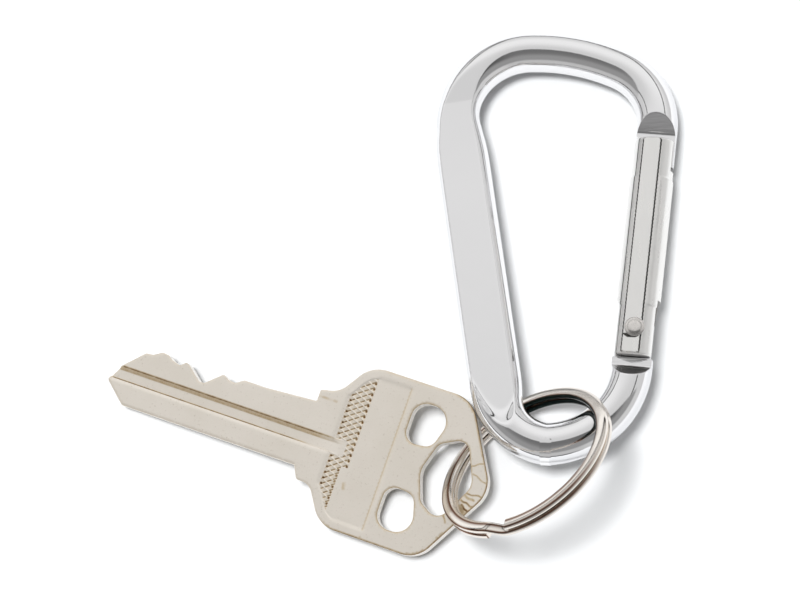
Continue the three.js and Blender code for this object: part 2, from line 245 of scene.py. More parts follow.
def make_mesh(name, points, faces, axes, material, wear_and_shade=None, sharp_degrees=40):
    """A named object from points in millimetres, placed by its axes, with smooth shading."""
    flat = np.asarray(points, float).reshape(-1, 3)
    turn = np.array(axes)
    placed = flat @ turn[:3, :3].T + turn[:3, 3]
    mesh = bpy.data.meshes.new(name)
    mesh.from_pydata(placed.tolist(), [], [[int(i) for i in face] for face in faces])
    # The point attribute holds real wear and dirt together with painted shade, shadow and highlight, as
    # each piece sets it.
    if wear_and_shade is not None:
        attribute = mesh.attributes.new("wear_and_shade", "FLOAT", "POINT")
        attribute.data.foreach_set("value", np.asarray(wear_and_shade, np.float32))
    shape = bmesh.new()
    shape.from_mesh(mesh)
    bmesh.ops.recalc_face_normals(shape, faces=shape.faces)
    shape.to_mesh(mesh)
    shape.free()
    mesh.polygons.foreach_set("use_smooth", [True] * len(mesh.polygons))
    mesh.set_sharp_from_angle(angle=math.radians(sharp_degrees))
    mesh.materials.append(material)
    made = bpy.data.objects.new(name, mesh)
    bpy.context.scene.collection.objects.link(made)
    return made


def finish_piece(made, body, node):
    """Says which body the piece rides on, and hides the node that it replaces."""
    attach(made, body)
    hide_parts(node)


def cut_away(made, cutters, sharp_degrees=40):
    """Takes the cutters' solids out of a piece, and then drops them."""
    for cutter in cutters:
        modifier = made.modifiers.new("cut", "BOOLEAN")
        modifier.operation = "DIFFERENCE"
        modifier.solver = "MANIFOLD"
        modifier.object = cutter
        bpy.context.view_layer.update()
        evaluated = made.evaluated_get(bpy.context.evaluated_depsgraph_get())
        cut = bpy.data.meshes.new_from_object(evaluated)
        made.modifiers.clear()
        made.data = cut
        bpy.data.objects.remove(cutter)
    made.data.polygons.foreach_set("use_smooth", [True] * len(made.data.polygons))
    made.data.set_sharp_from_angle(angle=math.radians(sharp_degrees))


def grid_faces(rows, columns):
    """Quads of a grid of rings, each ring's last point being joined to its first."""
    faces = []
    for i in range(rows - 1):
        low, high = i * columns, (i + 1) * columns
        for j in range(columns):
            k = (j + 1) % columns
            faces.append((low + j, low + k, high + k, high + j))
    return faces


def end_cap(first, upper, lower):
    """Closes a ring of points with strips between its upper points and the lower ones opposite them."""
    faces = []
    for a, b, c, d in zip(upper, upper[1:], lower[1:], lower):
        corners = [first + i for i in (a, b, c, d)]
        faces.append(list(dict.fromkeys(corners)))
    return faces


def swept_solid(name, rings, start, mirror, axes, material, wear_and_shade=None):
    """A solid swept through rings of points, with closed ends.

    The strips that close an end run from the ring's point start onwards, and from its point
    mirror backwards, until they meet on the opposite side.
    """
    columns = len(rings[0])
    count = columns // 2 + (start == mirror)
    upper = [(start + i) % columns for i in range(count)]
    lower = [(mirror - i) % columns for i in range(count)]
    faces = grid_faces(len(rings), columns)
    faces += end_cap(0, upper, lower) + end_cap((len(rings) - 1) * columns, upper, lower)
    return make_mesh(name, rings, faces, axes, material, wear_and_shade)


def turned_solid(name, profile, axes, material, sides=64, wear_and_shade=None):
    """A solid turned about Z from (radius, height) points that start and end on the axis."""
    angles = np.arange(sides) * 2 * math.pi / sides
    points = [(0, 0, profile[0][1])]
    for radius, height in profile[1:-1]:
        points.extend((radius * math.cos(a), radius * math.sin(a), height) for a in angles)
    points.append((0, 0, profile[-1][1]))
    last = len(points) - 1
    rings = len(profile) - 2
    faces = []
    for i in range(sides):
        k = (i + 1) % sides
        faces.append((0, 1 + k, 1 + i))
        faces.append((last, last - sides + i, last - sides + k))
        for ring in range(rings - 1):
            low = 1 + ring * sides
            faces.append((low + i, low + k, low + sides + k, low + sides + i))
    if wear_and_shade is not None:
        wear_and_shade = [wear_and_shade[0], *np.repeat(wear_and_shade[1:-1], sides), wear_and_shade[-1]]
    return make_mesh(name, points, faces, axes, material, wear_and_shade)


def rod_cutter(radius, low, high, axes, material):
    return turned_solid("rod", [(0, low), (radius, low), (radius, high), (0, high)], axes, material, 48)


def block_cutter(low, high, axes, material):
    xs, ys, zs = zip(low, high)
    corners = [(x, y, z) for x in xs for y in ys for z in zs]
    faces = [(0, 1, 3, 2), (4, 6, 7, 5), (0, 4, 5, 1), (2, 3, 7, 6), (0, 2, 6, 4), (1, 5, 7, 3)]
    return make_mesh("block", corners, faces, axes, material)


def smooth_step(low, high, value):
    """0 below low and 1 above high, with a smooth rise between them."""
    t = np.clip((np.asarray(value, float) - low) / (high - low), 0, 1)
    return t * t * (3 - 2 * t)


def hump(low, high, value, fade):
    """1 between low and high, fading to 0 on both sides."""
    return smooth_step(low - fade, low, value) * (1 - smooth_step(high, high + fade, value))


def near_line(value, centre, half_width):
    """1 at the centre, fading to 0 at half a width from it."""
    return 1 - smooth_step(half_width * 0.5, half_width, np.abs(value - centre))


def soft_min(a, b, blend):
    """The lower of two values, rounded off where they are within one blend of each other."""
    h = np.maximum(blend - np.abs(a - b), 0) / blend
    return np.minimum(a, b) - h * h * blend / 4


# ---- outlines


def corner_bend(before, corner, after, spacing):
    """Points along the arc that rounds a corner (x, y, radius) between its two neighbours."""
    at = np.array(corner[:2], float)
    if len(corner) < 3:
        return at[None]
    radius = corner[2]
    back = unit(np.array(before[:2], float) - at)
    on = unit(np.array(after[:2], float) - at)
    half = math.acos(np.clip(back @ on, -1, 1)) / 2
    centre = at + unit(back + on) * radius / math.sin(half)
    a = at + back * radius / math.tan(half) - centre
    b = at + on * radius / math.tan(half) - centre
    sweep = math.atan2(a[0] * b[1] - a[1] * b[0], a @ b)
    count = max(2, math.ceil(abs(sweep) * radius / spacing))
    angles = math.atan2(a[1], a[0]) + sweep * np.linspace(0, 1, count + 1)
    return centre + radius * np.stack([np.cos(angles), np.sin(angles)], 1)


def filled_line(stretches, spacing):
    """One line of points through several stretches, with the straight gaps between them filled."""
    line = list(stretches[0])
    for stretch in stretches[1:]:
        gap = stretch[0] - line[-1]
        count = max(1, round(np.linalg.norm(gap) / spacing))
        start = line[-1]
        line.extend(start + gap * k / count for k in range(1, count))
        line.extend(stretch)
    return np.array(line)


def rounded_loop(corners, spacing):
    """A closed outline through corners (x, y, radius), its points about one spacing apart."""
    around = zip([corners[-1], *corners[:-1]], corners, [*corners[1:], corners[0]])
    bends = [corner_bend(a, b, c, min(spacing, b[2] / 3) if len(b) > 2 else spacing) for a, b, c in around]
    return filled_line([*bends, bends[0][:1]], spacing)[:-1]


# ---- the carabiner's bent bar

SIDE_COLUMNS = 16
FACE_COLUMNS = 24
BAR_COLUMNS = 2 * (SIDE_COLUMNS + FACE_COLUMNS)
STATIONS = SimpleNamespace(line=0.05, fine=0.08, coarse=0.3, near_end=9, near_press=2.2)
END_REACH = 12

# What the frame's attribute says of a place. It is 0 on the plain bar, below 0 where painted shade darkens
# the lower outer side, and above 0 for milling marks on the cut faces, a painted shade line along the
# pressed back's shoulder and a painted shadow on the tongue under the gate's end.
SHADED_SIDE = -1
CUT_START = 0.4
SHOULDER_SHADE_LINE = 0.6
CUT_DEEP = 1.0
DARK_LENS = 1.6
SHADED_UP_TO = (1.2, 1.75)
CUTS = SimpleNamespace(off=0.05, reach=7, deep_from=0.35)
SHOULDER = SimpleNamespace(half_width=0.09, start=6, end=44)
LENS = SimpleNamespace(half_width=2.3, bow=0.75, gap=0.05, under_gate=0.3)


def bar_stations():
    """Centreline points, ways and distances from the hinge end to the nose, denser near the cuts."""
    nose_end = rivet_at + gate_way * NOSE_TIP
    corners = [rivet_at, NARROW_GATE, NARROW_BACK, WIDE_BACK, WIDE_TOP, WIDE_GATE, nose_end]
    spacing = STATIONS.line
    bends = [corner_bend(*three, spacing) for three in zip(corners, corners[1:], corners[2:])]
    line = filled_line([rivet_at[None], *bends, nose_end[None]], spacing)
    distance = np.concatenate([[0], np.cumsum(np.linalg.norm(np.diff(line, axis=0), axis=1))])
    total = distance[-1]
    narrow_place = distance[np.argmin(np.linalg.norm(line - back_point(0), axis=1))]
    pressed = [narrow_place + PRESSED.start, narrow_place + PRESSED.end]
    places = [0.0]
    while places[-1] < total:
        here = places[-1]
        near_cut = min(here, total - here) < STATIONS.near_end
        near_cut = near_cut or min(abs(here - p) for p in pressed) < STATIONS.near_press
        places.append(here + (STATIONS.fine if near_cut else STATIONS.coarse))
    places[-1] = total
    points = np.stack([np.interp(places, distance, line[:, i]) for i in (0, 1)], 1)
    ways = np.gradient(line, distance, axis=0)
    ways = np.stack([np.interp(places, distance, ways[:, i]) for i in (0, 1)], 1)
    return points, ways / np.linalg.norm(ways, axis=1)[:, None], np.array(places), total


narrow_back = np.array(NARROW_BACK[:2])
back_way = unit(np.array(WIDE_BACK[:2]) - narrow_back)
back_inward = np.array((back_way[1], -back_way[0]))


def back_point(along):
    return narrow_back + back_way * along


def scoop_height(past, scoop):
    """Height of a milled scoop's surface over the tongue's middle, at a distance past its start."""
    share = np.maximum(past, 0) / scoop.reach
    return TONGUE_HALF + (BAR_RADIUS - TONGUE_HALF) * share**1.25


def press_height(along, sideways):
    """Height to which the back is pressed, above its middle."""
    run_start, run_end = PRESSED.run_in
    reach = PRESSED.rise_length
    low_edge = PRESSED.start + PRESSED.sag * (sideways - PRESSED.sag_centre) ** 2
    pressed = smooth_step(low_edge + run_start, low_edge + run_end, along)
    unpressed = BAR_RADIUS + PRESSED.clearance
    level = unpressed - pressed * (unpressed - PRESSED.half_thickness)
    rising = np.clip(along - PRESSED.end + reach, 0, 2 * reach) / reach
    level = level + PRESSED.rise * rising**2
    level = level + np.maximum(PRESSED.lead_end - along, 0) * PRESSED.lead_slope
    return level + np.maximum(along - PRESSED.end, 0) * PRESSED.ramp


def cam_reach(sideways):
    """How far the hinge tongue reaches past the rivet, at each place across it."""
    angle = np.radians(np.linspace(0, CAM.degrees, 30))
    radius = CAM.radius + CAM.rise * angle
    inner = np.interp(sideways, (-radius * np.sin(angle))[::-1], (radius * np.cos(angle))[::-1])
    aside = np.clip(sideways, 0, BAR_RADIUS)
    outer = CAM.radius - BAR_RADIUS + np.sqrt(BAR_RADIUS**2 - aside**2)
    return np.where(sideways < 0, inner, outer)


def section_angles(inner_edge, outer_edge):
    """Angles round a section from its inner side, closer together at the edges of its flat faces."""
    side = np.sin(np.linspace(-0.5, 0.5, SIDE_COLUMNS + 1) * math.pi)[:-1]
    face = (1 + np.sin(np.linspace(-0.5, 0.5, FACE_COLUMNS + 1) * math.pi)) / 2
    face = face[:-1]
    upper = inner_edge + (math.pi - outer_edge - inner_edge) * face
    lower = math.pi + outer_edge + (math.pi - outer_edge - inner_edge) * face
    return np.concatenate([inner_edge * side, upper, math.pi + outer_edge * side, lower])


def bar_section(half_width, pressed, flat):
    """Distances inward and up of the section's points, before anything is cut off its faces."""
    inner_power = 2 - PRESSED.inner_slope * pressed
    outer_power = 2 + PRESSED.outer_square * pressed
    level = min(flat / BAR_RADIUS, 0.88)
    angles = section_angles(math.asin(level ** (inner_power / 2)), math.asin(level ** (outer_power / 2)))
    c, s = np.cos(angles), np.sin(angles)
    power = 2 / np.where(c > 0, inner_power, outer_power)
    return half_width * np.sign(c) * np.abs(c) ** power, BAR_RADIUS * np.sign(s) * np.abs(s) ** power


def bar_ring(point, way, place, total):
    """The points of the bar's surface round one place of its centreline."""
    inward = np.array((way[1], -way[0]))
    along = (point - narrow_back) @ back_way
    on_back = (point - narrow_back) @ back_inward < PRESSED.reach_aside and 0 < along < PRESSED.reach_along
    pressed = float(hump(*PRESSED.wide_span, along, PRESSED.wide_fade)) if on_back else 0.0
    v = (point - rivet_at) @ gate_way
    near_nose, near_hinge = place > total - END_REACH, place < END_REACH
    scoop = NOSE_SCOOP if near_nose else HINGE_SCOOP
    sign = 1 if near_nose else -1
    flat = BAR_RADIUS
    if near_nose or near_hinge:
        flat = float(scoop_height(sign * (v - scoop.place), scoop))
    if on_back:
        flat = float(press_height(along, 0.0))
    half_width = BAR_RADIUS + (PRESSED.half_width - BAR_RADIUS) * pressed
    aside, height = bar_section(half_width, pressed, flat)
    if near_nose:
        squeeze = 1 - smooth_step(*NOSE_NARROWS, v - GATE.end)
        narrowed = (aside + BAR_RADIUS) * (NOSE_INNER + BAR_RADIUS) / (2 * BAR_RADIUS) - BAR_RADIUS
        aside = aside + (narrowed - aside) * squeeze
    if near_hinge:
        aside = aside * (1 - HINGE_SQUEEZE * smooth_step(*HINGE_SQUEEZE_SPAN, v))
    spots = point + aside[:, None] * inward
    if near_hinge and v > CAM.start:
        end = cam_reach((spots - rivet_at) @ gate_side)
        share = (v - CAM.start) / -CAM.start
        spots = spots + (share * (end - CAM.start) + CAM.start - v)[:, None] * gate_way
    if near_nose or near_hinge:
        past = sign * ((spots - rivet_at) @ gate_way - scoop.place)
        limit = scoop_height(past, scoop)
        height = np.sign(height) * soft_min(np.abs(height), limit, SCOOP_BLEND)
    if on_back:
        spot_along = (spots - narrow_back) @ back_way
        sideways = (spots - narrow_back) @ back_inward
        limit = press_height(spot_along, sideways)
        height = np.sign(height) * soft_min(np.abs(height), limit, PRESSED.blend)
    return np.column_stack([spots, height])


def frame_marks_and_shade(points):
    """Milling marks and painted shade of the frame's points, in the values named above."""
    v = (points[:, :2] - rivet_at) @ gate_way
    aside = (points[:, :2] - rivet_at) @ gate_side
    height = np.abs(points[:, 2])
    # Painted shade: the outer side and the lower face are darker up to a height, standing in for the shaded
    # floor near the bar that they reflect.
    wear_and_shade = SHADED_SIDE * (1 - smooth_step(*SHADED_UP_TO, height))
    wear_and_shade[np.arange(len(points)) % BAR_COLUMNS < BAR_COLUMNS // 2] = 0
    for sign, scoop in ((1, NOSE_SCOOP), (-1, HINGE_SCOOP)):
        past = sign * (v - scoop.place)
        cut = np.abs(height - scoop_height(past, scoop)) < CUTS.off
        cut &= (np.abs(past) < CUTS.reach) & (np.abs(aside) < BAR_RADIUS + 0.1)
        wear_and_shade[cut] = CUT_START
        wear_and_shade[cut & (past > CUTS.deep_from)] = CUT_DEEP
    along = (points[:, :2] - narrow_back) @ back_way
    shoulder = (points[:, :2] - narrow_back) @ back_inward + PRESSED.shoulder
    on_shoulder = (np.abs(shoulder) < SHOULDER.half_width) & (points[:, 2] > 0)
    # A painted shade line along the edge of the pressed back's flat.
    wear_and_shade[on_shoulder & (along > SHOULDER.start) & (along < SHOULDER.end)] = SHOULDER_SHADE_LINE
    # A painted shadow on the tongue just under the gate's end.
    lens = GATE.start - LENS.gap - LENS.bow * (1 - (aside / LENS.half_width) ** 2)
    in_lens = (v > lens) & (v < GATE.start + LENS.under_gate)
    wear_and_shade[in_lens & (np.abs(aside) < LENS.half_width)] = DARK_LENS
    return wear_and_shade


def carabiner_frame(material):
    points, ways, places, total = bar_stations()
    rings = [bar_ring(*station, total) for station in zip(points, ways, places)]
    wear_and_shade = frame_marks_and_shade(np.concatenate(rings))
    middle = SIDE_COLUMNS // 2
    made = swept_solid("carabiner_frame", rings, middle, middle, CARABINER_AXES, material, wear_and_shade)
    cut_away(made, [rod_cutter(RIVET.hole, -4, 4, GATE_AXES, material)])
    finish_piece(made, "carabiner", "carabiner_body")


# ---- gate, rivet, plunger and spring


def gate_axes():
    """The gate's own axes: X across it, Y towards the nose and Z up, from the rivet."""
    turn = Matrix.Rotation(-math.atan2(gate_way[0], gate_way[1]), 4, "Z")
    return CARABINER_AXES @ Matrix.Translation(Vector((*rivet_at, 0))) @ turn


GATE_AXES = gate_axes()
GATE_ROD_AXES = GATE_AXES @ Matrix.Rotation(-math.pi / 2, 4, "X")


def gate_top(x, v):
    """Height of the gate's upper side: a land along its middle, with a thin groove on each side."""
    radius = GATE.radius
    round_top = np.sqrt(np.maximum(radius**2 - x**2, 0))
    inset = np.minimum(v - GATE.start, GATE.end - v) - GATE.land_inset
    corner = GATE.land_corner
    pinch = corner - np.sqrt(np.maximum(corner**2 - (corner - np.clip(inset, 0, corner)) ** 2, 0))
    half = GATE.land_half - pinch + 0.02 * np.sin(v * 2 * math.pi / GATE.land_ripple)
    edge = np.where(inset < 0, 9, np.abs(x) - half)
    land = 1 - smooth_step(-0.06, 0.0, edge)
    groove = smooth_step(-0.02, 0.05, edge) * (1 - smooth_step(GATE.groove - 0.06, GATE.groove, edge))
    end_groove = hump(-0.16, -0.04, inset, 0.05) * (np.abs(x) < GATE.land_half)
    top = round_top + land * (GATE.land_height - round_top)
    return top - GATE.groove_depth * groove - 0.05 * end_groove


def gate_top_places():
    """Sideways places across the gate's upper side, closer together at the land's edges."""
    reach = GATE.land_half + GATE.groove + 0.06
    fine = np.linspace(GATE.land_half - 0.12, reach, 9)
    return np.concatenate([-fine[::-1], np.linspace(-fine[0], fine[0], 13)[1:-1], fine])[::-1]


def gate_bar(material):
    radius = GATE.radius
    top = gate_top_places()
    limit = math.acos(top[0] / radius)
    flank = np.linspace(-limit, limit, 24)[1:-1]
    fine = np.radians(GATE.reflection_line + np.array(GATE.reflection_line_edges))
    fine = np.concatenate([fine, -fine])
    clear = np.min(np.abs(flank[:, None] - fine), axis=1) > 0.02
    flank = np.sort(np.concatenate([flank[clear], fine]))
    stations = [GATE.start]
    while stations[-1] < GATE.end:
        here = stations[-1]
        near_end = min(here - GATE.start, GATE.end - here) < GATE.near_end
        stations.append(here + (GATE.fine_step if near_end else GATE.coarse_step))
    stations[-1] = GATE.end
    roll = math.radians(GATE.roll)
    turn = np.array(((math.cos(roll), math.sin(roll)), (-math.sin(roll), math.cos(roll))))
    rings, shade_and_grime = [], []
    for v in stations:
        bulge = 1 + GATE.bulge * hump(*GATE.bulge_span, v, 0.25)
        sides = radius * bulge * np.stack([np.cos(flank), np.sin(flank) / bulge], 1)
        upper = np.stack([top, gate_top(top, v)], 1)
        section = np.concatenate([sides, upper, -sides, -upper])
        # Painted shade darkens the grooves beside the land, and painted shadow with grime darkens the land
        # just beneath the rivet head.
        sunk = np.sqrt(radius**2 - top**2) - upper[:, 1] > 0.08
        beneath_head = (np.hypot(top, v) < RIVET.head + 0.12) & (v < -0.8)
        sunk = np.maximum(sunk * 0.8, beneath_head)
        # A painted dark reflection line along one flank.
        reflection_line = np.abs(np.degrees(flank) + GATE.reflection_line) < GATE.reflection_line_half
        shade_and_grime.extend([*np.zeros(len(flank)), *sunk, *reflection_line, *sunk])
        from_end = min(v - GATE.start, GATE.end - v)
        rounding = GATE.edge
        inset = rounding - math.sqrt(rounding**2 - max(rounding - from_end, 0) ** 2)
        section = section * (1 - inset / radius) * (GATE.broad, 1) @ turn
        spread = np.minimum(np.linalg.norm(section, axis=1) / radius, 1)
        dome = GATE.dome * (1 - spread**2) * (1 - smooth_step(0, 1, v - GATE.start))
        rings.append(np.column_stack([section[:, 0], v - dome, section[:, 1]]))
    half = len(flank) // 2
    made = swept_solid("gate_bar", rings, half, half - 1, GATE_AXES, material, shade_and_grime)
    start, end = GATE.start - 2, GATE.end + 1
    slot, wide = GATE.slot_half, 2 * radius
    nose_slot = (-GATE.inner_wall, GATE.nose_slot_start, -slot), (wide, end, slot)
    hinge_slot = (-wide, start, -slot), (wide, GATE.hinge_slot_end, slot)
    cutters = [block_cutter(*corners, GATE_AXES, material) for corners in (nose_slot, hinge_slot)]
    cutters.append(rod_cutter(RIVET.hole, -4, 4, GATE_AXES, material))
    cutters.append(rod_cutter(BORE.radius, 0, BORE.end, GATE_ROD_AXES, material))
    cut_away(made, cutters)
    finish_piece(made, "gate", "gate")


def rivet(material):
    shank, head, seat, top = RIVET.shank, RIVET.head, RIVET.seat, RIVET.top
    half = [
        (0, top - 0.03),
        (head * 0.3, top - 0.01),
        (head * 0.5, top - 0.02),
        (head * 0.62, top - 0.07),
        (head * 0.68, top - 0.12),
        (head * 0.84, top - 0.16),
        (head * 0.95, top - 0.22),
        (head, top - 0.28),
        (head * 0.99, seat + 0.02),
        (head * 0.93, seat),
        (shank, seat),
    ]
    profile = half + [(r, -z) for r, z in reversed(half)]
    # Painted shadow: the head's rim and underside are dark, standing in for the shadow beneath the raised
    # head; two faint darker rings lie on the dome.
    dark = [0, 0, 0, 0, 0.2, 0, 0, 0.2, 1, 1, 1]
    made = turned_solid("rivet", profile[::-1], GATE_AXES, material, 96, dark + dark[::-1])
    finish_piece(made, "carabiner", "hinge_rivet")


def plunger(material):
    radius, start, end = PLUNGER.radius, PLUNGER.start, PLUNGER.end
    angles = np.radians(np.arange(0, 91, 9))
    nose = [(radius * math.sin(a), start + radius - radius * math.cos(a)) for a in angles]
    profile = [(0, start), *nose[1:], (radius, end - 0.1), (radius - 0.1, end), (0, end)]
    made = turned_solid("plunger", profile, GATE_ROD_AXES, material, 48)
    finish_piece(made, "plunger", "spring_plunger")


def tube_along(name, path, section_offsets, axes, material, wear_and_shade=None):
    """A closed tube: for each path point, its section's points given by section_offsets(i)."""
    rings = [path[i] + section_offsets(i) for i in range(len(path))]
    return swept_solid(name, rings, 0, 0, axes, material, wear_and_shade)


def coil_spring(material):
    turns, radius = SPRING.turns, SPRING.radius
    t = np.linspace(0, 1, turns * 32 + 1)
    angle = 2 * math.pi * turns * t
    length = SPRING.end - SPRING.start
    heights = np.interp(t, (0, 1), (SPRING.start, SPRING.end))
    path = np.stack([radius * np.cos(angle), radius * np.sin(angle), heights], 1)
    around = np.arange(16) * math.pi / 8

    def offsets(i):
        c, s = math.cos(angle[i]), math.sin(angle[i])
        out = np.array((c, s, 0))
        way = np.array((-s * radius, c * radius, length / (2 * math.pi * turns)))
        across = np.cross(unit(way), out)
        return SPRING.wire * (np.cos(around)[:, None] * out + np.sin(around)[:, None] * across)

    made = tube_along("coil_spring", path, offsets, GATE_ROD_AXES, material)
    finish_piece(made, "gate", "gate_spring")
    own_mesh(made)


# ---- split ring


def ring_wire(material):
    gap = math.radians(RING.ends_apart)
    turned = np.linspace(0, 4 * math.pi - gap, 620)
    angle = math.radians(RING.ends_at) + gap / 2 + turned
    step = np.clip((turned - (2 * math.pi - gap)) / gap, 0, 1)
    height = RING.layer * np.cos(math.pi * step)
    path = np.stack([RING.radius * np.cos(angle), RING.radius * np.sin(angle), height], 1)
    around = np.arange(40) * 2 * math.pi / 40
    c, s = np.cos(around), np.sin(around)
    power = 2 / RING.squareness
    aside = RING.half_width * np.sign(c) * np.abs(c) ** power
    up = RING.half_thickness * np.sign(s) * np.abs(s) ** power

    def offsets(i):
        out = np.array((math.cos(angle[i]), math.sin(angle[i]), 0))
        return aside[:, None] * out + up[:, None] * np.array((0, 0, 1))

    # Painted light: a dark reflection on the inner wall of the far arc, and on the near arc painted shade
    # between the coils along the wire's outer corners, with a painted dark line along its top face.
    from_top = np.abs((np.degrees(angle) + 180) % 360 - 180 - RING.dark_reflection_at)
    far = 1 - smooth_step(50, 95, from_top)
    inner_wall = smooth_step(0.35, 0.7, -c) * smooth_step(0.0, 0.05, 1 - np.abs(s))
    facing = near_line(np.abs(s), 0.6, 0.3) * smooth_step(0.5, 0.7, c)
    facing = facing + near_line(c, -0.2, 0.25) * (s > 0)
    painted_dark = far[:, None] * inner_wall + (1 - far)[:, None] * RING.between_coils_shade * facing
    made = tube_along("ring_wire", path, offsets, RING_AXES, material, painted_dark.ravel())
    finish_piece(made, "ring", "split_ring")


# ---- house key

KEY_MIDDLE = 1.85

BLADE = [
    (0, 0, 0.4),
    (1.1, 2.1, 1),
    (3.88, 4.84, 0.4),
    (4.85, 4.93, 0.3),
    (6.03, 5.64, 0.3),
    (6.96, 5.53, 0.4),
    (7.58, 5.08, 0.4),
    (8.83, 4.74, 0.4),
    (9.57, 5.4, 0.25),
    (10.11, 5.16, 0.3),
    (12.05, 3.55, 0.5),
    (12.8, 3.57, 0.4),
    (14.97, 5.49, 0.4),
    (15.82, 5.0, 0.4),
    (16.85, 4.91, 0.4),
    (17.91, 5.62, 0.5),
    (20.9, 5.6, 2),
]
STOP = [(28.1, 6.1, 0.2), (28.1, 7.7, 0.3), (30.6, 8.2, 3)]
BOW = [
    (33.6, 12.75, 4),
    (47.7, 12.75, 4.2),
    (53.9, 2.2, 4),
    (47.6, -9.05, 3.8),
    (33.9, -9.05, 4),
    (30.9, -4.4, 2),
]
FOOT = [(29, -4.4, 0.5), (28.1, -2.7), (3.1, -2.7, 0.5)]
SMALL_WINDOW = [(40.7, 10.4, 2), (46.2, 10.4, 2.2), (44.6, 5.1, 1.6), (40.7, 4.7, 1.6)]
RING_WINDOW = [
    (51.4, 2.1, 2.2),
    (48.9, 7.7, 1.5),
    (45.4, 5.9, 1.6),
    (44.2, 1.85, 3),
    (45.6, -1.9, 1.6),
    (48.5, -3.6, 1.6),
]

# Where the steep and the slanted wall of each side's channel meet the face.
CHANNELS = {1: (0.45, 2.2), -1: (-0.2, -1.7)}
CHANNEL_DEPTH = 0.5
CHANNEL_WALL = 0.42
CHANNEL_FADE = (28.5, 34.4)
PANEL_DEPTH = 0.07
PANEL_END = 39.7
HATCH = SimpleNamespace(
    left=32.2,
    right=35.0,
    lower_right=34.1,
    step=-0.9,
    low=-7.2,
    channel_end=33.9,
    pitch=0.76,
    ridge_half=0.13,
    ridge_slope=22,
    dash_half=0.12,
    dash_slope=36,
    rim=0.14,
    floor=0.03,
    ridge_depth=-0.08,
    dash_depth=0.07,
    pit_depth=0.1,
)
KEY_DIRT = SimpleNamespace(
    slanted_wall=0.3,
    slanted_foot=0.6,
    steep_foot=0.95,
    panel_end=0.3,
    dashes=0.75,
    hatch_floor=0.12,
    windows=0.55,
    least=0.15,
)
RUB_STROKES = [
    ((50.5, 0.7), (52.2, 0.4), 0.22, 0.45),
    ((50.6, 0.0), (52.2, -0.4), 0.18, 0.75),
    ((50.8, 0.95), (52.9, 1.2), 0.15, 0.6),
    ((50.9, -0.6), (52.0, -1.3), 0.2, 0.9),
    ((50.7, -0.9), (51.7, -1.7), 0.45, 0.5),
    ((50.4, 4.5), (51.9, 5.4), 0.14, 0.5),
    ((50.9, 3.7), (53.2, 2.9), 0.14, 0.45),
    ((49.6, -1.6), (50.8, -3.0), 0.2, 0.6),
    ((48.9, -2.2), (49.6, -3.4), 0.18, 0.5),
    ((28.5, 6.8), (30.7, 6.8), 0.13, 0.35),
    ((35.2, -2.9), (35.4, -3.6), 0.3, 0.3),
]

# Corners and spacing of the key's patches of mesh points.
COARSE_PATCH = ((0.2, -9), (54, 12.7), 0.3)
FINE_PATCHES = [((32, -7.6), (35.3, 11.5), 0.075), ((48, -4.5), (53.8, 6), 0.1)]


def key_loops(spacing):
    """The key's outline and its three windows, all turning the same way round."""
    mirrored = [(x, 2 * KEY_MIDDLE - y, r) for x, y, r in reversed(SMALL_WINDOW)]
    outline = rounded_loop([*BLADE, *STOP, *BOW, *FOOT], spacing)
    windows = [rounded_loop(corners, spacing) for corners in (SMALL_WINDOW, mirrored, RING_WINDOW)]
    return [outline, *windows]


def loop_normals(loop):
    """Unit vectors to the right of a loop's direction at each of its points."""
    ways = np.roll(loop, -1, axis=0) - np.roll(loop, 1, axis=0)
    ways /= np.linalg.norm(ways, axis=1)[:, None]
    return np.stack([ways[:, 1], -ways[:, 0]], 1)


def turns_left(loop):
    following = np.roll(loop, -1, axis=0)
    return np.sum(loop[:, 0] * following[:, 1] - loop[:, 1] * following[:, 0]) > 0


def inside(points, loop):
    """Whether each point lies inside a loop."""
    x, y = points[:, 0][:, None], points[:, 1][:, None]
    x1, y1 = loop[:, 0], loop[:, 1]
    x2, y2 = np.roll(loop[:, 0], -1), np.roll(loop[:, 1], -1)
    crosses = ((y1 > y) != (y2 > y)) & (x < (x2 - x1) * (y - y1) / (y2 - y1 + 1e-12) + x1)
    return np.sum(crosses, axis=1) % 2 == 1


def channel_knots(side):
    """Distances from a channel's steep wall, towards its slanted one, where its depth changes."""
    steep, slanted = CHANNELS[side]
    width = abs(slanted - steep)
    return [-0.34, -0.06, 0.0, width - CHANNEL_WALL, width]


def channel_place(y, side):
    """Distance from the channel's steep wall, towards its slanted one."""
    steep, slanted = CHANNELS[side]
    return (y - steep) * np.sign(slanted - steep)


def channel_depth(x, y, side):
    """Depth of the milled channel, whose steep wall has a rounded rim."""
    depths = [0.0, 0.1, CHANNEL_DEPTH, CHANNEL_DEPTH, 0.0]
    ends = 1 - smooth_step(*CHANNEL_FADE, x)
    return np.interp(channel_place(y, side), channel_knots(side), depths) * ends


def repeats(value, pitch, half_width):
    """1 on lines that repeat at a pitch, fading to 0 within half a width."""
    off = np.abs((value / pitch + 0.5) % 1 - 0.5) * pitch
    return 1 - smooth_step(half_width * 0.4, half_width, off)


